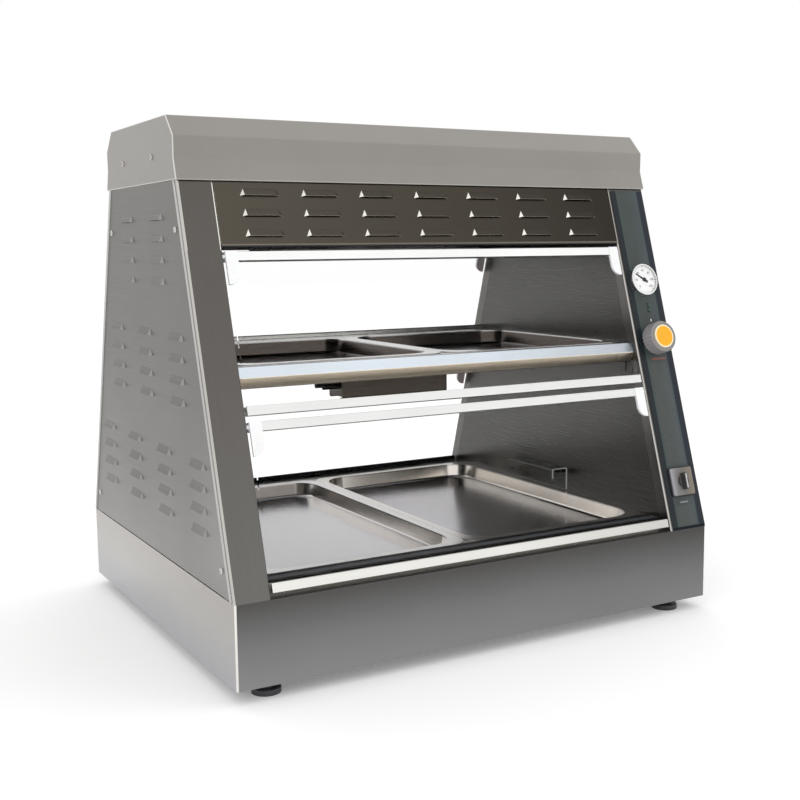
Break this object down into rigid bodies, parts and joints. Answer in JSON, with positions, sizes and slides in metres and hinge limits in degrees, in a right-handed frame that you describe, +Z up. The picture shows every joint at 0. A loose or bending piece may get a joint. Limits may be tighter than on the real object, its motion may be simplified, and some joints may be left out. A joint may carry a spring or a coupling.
{
  "type": "chicken warmer",
  "caption": "Counter-top heated food display cabinet with sloping glass flaps front and rear, louvred sides, a mid shelf, lift-out pans and a control panel.",
  "frame": {"origin": "middle of the footprint, on the counter", "axes": "+Z up, -Y towards the customer's side, +X to the right seen from the customer's side"},
  "size_m": [0.779, 0.645, 0.73],
  "materials": {
    "stainless": "brushed stainless sheet",
    "hood_paint": "satin taupe paint",
    "seal_rubber": "matt",
    "screw_steel": "bright",
    "element_sheath": "oxidised heater sheath",
    "lamp_glass": "frosted",
    "holder_plastic": "moulded",
    "bulb_metal": "plated",
    "overlay": "satin film",
    "bezel": "polished",
    "dial": "printed",
    "pointer": "matt black",
    "lens": "clear",
    "knob": "moulded",
    "knob_cap": "gloss",
    "switch": "satin",
    "glass": "clear toughened",
    "rail_aluminium": "anodised satin",
    "lug_plastic": "moulded",
    "foot_plastic": "moulded"
  },
  "bodies": {
    "cabinet": {"base_shell": "stainless", "base_floor": "stainless", "base_deck": "stainless", "ceiling_panel": "stainless", "shelf_frame": "stainless", "shelf_brackets": "stainless", "shelf_heater_housing": "stainless", "heater_clips": "stainless", "sensor_guard": "stainless", "left_outer_panel": "stainless", "right_outer_panel": "stainless", "left_inner_wall": "stainless", "right_inner_wall": "stainless", "front_vent_panel": "stainless", "rear_vent_panel": "stainless", "front_left_post": "stainless", "front_right_post": "stainless", "rear_left_post": "stainless", "rear_right_post": "stainless", "hood_shell": "hood_paint", "deck_seals": "seal_rubber", "panel_screws": "screw_steel", "shelf_heater_element": "element_sheath", "base_heater_element": "element_sheath", "lamp_tube": "lamp_glass", "lamp_holders": "holder_plastic", "terminal_block": "holder_plastic", "cable_gland": "holder_plastic", "switch_body": "holder_plastic", "sensor_bulbs": "bulb_metal", "thermostat_body": "bulb_metal", "control_overlay": "overlay", "thermometer_case": "bezel", "thermometer_dial": "dial", "thermometer_lens": "lens", "switch_plate": "switch"},
    "front_upper_flap": {"front_upper_glass": "glass", "front_upper_rails": "rail_aluminium", "front_upper_lugs": "lug_plastic"},
    "front_lower_flap": {"front_lower_glass": "glass", "front_lower_rails": "rail_aluminium", "front_lower_lugs": "lug_plastic"},
    "rear_upper_flap": {"rear_upper_glass": "glass", "rear_upper_rails": "rail_aluminium", "rear_upper_lugs": "lug_plastic"},
    "rear_lower_flap": {"rear_lower_glass": "glass", "rear_lower_rails": "rail_aluminium", "rear_lower_lugs": "lug_plastic"},
    "knob": {"thermostat_knob": "knob", "knob_cap": "knob_cap"},
    "lever": {"switch_lever": "switch"},
    "pointer": {"thermometer_pointer": "pointer"},
    "left_base_pan": {"left_base_pan": "stainless"},
    "left_shelf_pan": {"left_shelf_pan": "stainless"},
    "right_base_pan": {"right_base_pan": "stainless"},
    "right_shelf_pan": {"right_shelf_pan": "stainless"},
    "front_left_foot": {"front_left_foot": "foot_plastic"},
    "front_right_foot": {"front_right_foot": "foot_plastic"},
    "rear_left_foot": {"rear_left_foot": "foot_plastic"},
    "rear_right_foot": {"rear_right_foot": "foot_plastic"}
  },
  "joints": [
    {"name": "front_upper_flap_hinge", "type": "hinge", "parent": "cabinet", "child": "front_upper_flap", "pos_m": [-0.0108, -0.18221, 0.54752], "axis": [-1, 0, 0], "range_deg": [0, 70]},
    {"name": "front_lower_flap_hinge", "type": "hinge", "parent": "cabinet", "child": "front_lower_flap", "pos_m": [-0.0108, -0.24827, 0.33412], "axis": [-1, 0, 0], "range_deg": [0, 70]},
    {"name": "rear_upper_flap_hinge", "type": "hinge", "parent": "cabinet", "child": "rear_upper_flap", "pos_m": [-0.0108, 0.179, 0.54749], "axis": [1, 0, 0], "range_deg": [0, 70]},
    {"name": "rear_lower_flap_hinge", "type": "hinge", "parent": "cabinet", "child": "rear_lower_flap", "pos_m": [-0.0108, 0.2467, 0.33409], "axis": [1, 0, 0], "range_deg": [0, 70]},
    {"name": "thermostat_turn", "type": "hinge", "parent": "cabinet", "child": "knob", "pos_m": [0.352, -0.22955, 0.4115], "axis": [0, 0.9553, -0.2957], "range_deg": [0, 270]},
    {"name": "switch_turn", "type": "hinge", "parent": "cabinet", "child": "lever", "pos_m": [0.3515, -0.29564, 0.198], "axis": [0, 0.9553, -0.2957], "range_deg": [0, 90]},
    {"name": "pointer_turn", "type": "hinge", "parent": "cabinet", "child": "pointer", "pos_m": [0.3485, -0.20154, 0.502], "axis": [0, 0.9553, -0.2957], "range_deg": [-78, 192]},
    {"name": "left_base_pan_lift", "type": "slide", "parent": "cabinet", "child": "left_base_pan", "axis": [0, 0, 1], "range_m": [0, 0.1]},
    {"name": "right_base_pan_tilt", "type": "hinge", "parent": "cabinet", "child": "right_base_pan", "pos_m": [0.3144, 0, 0.145], "axis": [0, 1, 0], "range_deg": [0, 20]},
    {"name": "left_shelf_pan_lift", "type": "slide", "parent": "cabinet", "child": "left_shelf_pan", "axis": [0, 0, 1], "range_m": [0, 0.035]},
    {"name": "right_shelf_pan_lift", "type": "slide", "parent": "cabinet", "child": "right_shelf_pan", "axis": [0, 0, 1], "range_m": [0, 0.035]},
    {"name": "front_left_foot_screw", "type": "slide", "parent": "cabinet", "child": "front_left_foot", "axis": [0, 0, -1], "range_m": [0, 0.012]},
    {"name": "front_right_foot_screw", "type": "slide", "parent": "cabinet", "child": "front_right_foot", "axis": [0, 0, -1], "range_m": [0, 0.012]},
    {"name": "rear_left_foot_screw", "type": "slide", "parent": "cabinet", "child": "rear_left_foot", "axis": [0, 0, -1], "range_m": [0, 0.012]},
    {"name": "rear_right_foot_screw", "type": "slide", "parent": "cabinet", "child": "rear_right_foot", "axis": [0, 0, -1], "range_m": [0, 0.012]}
  ]
}
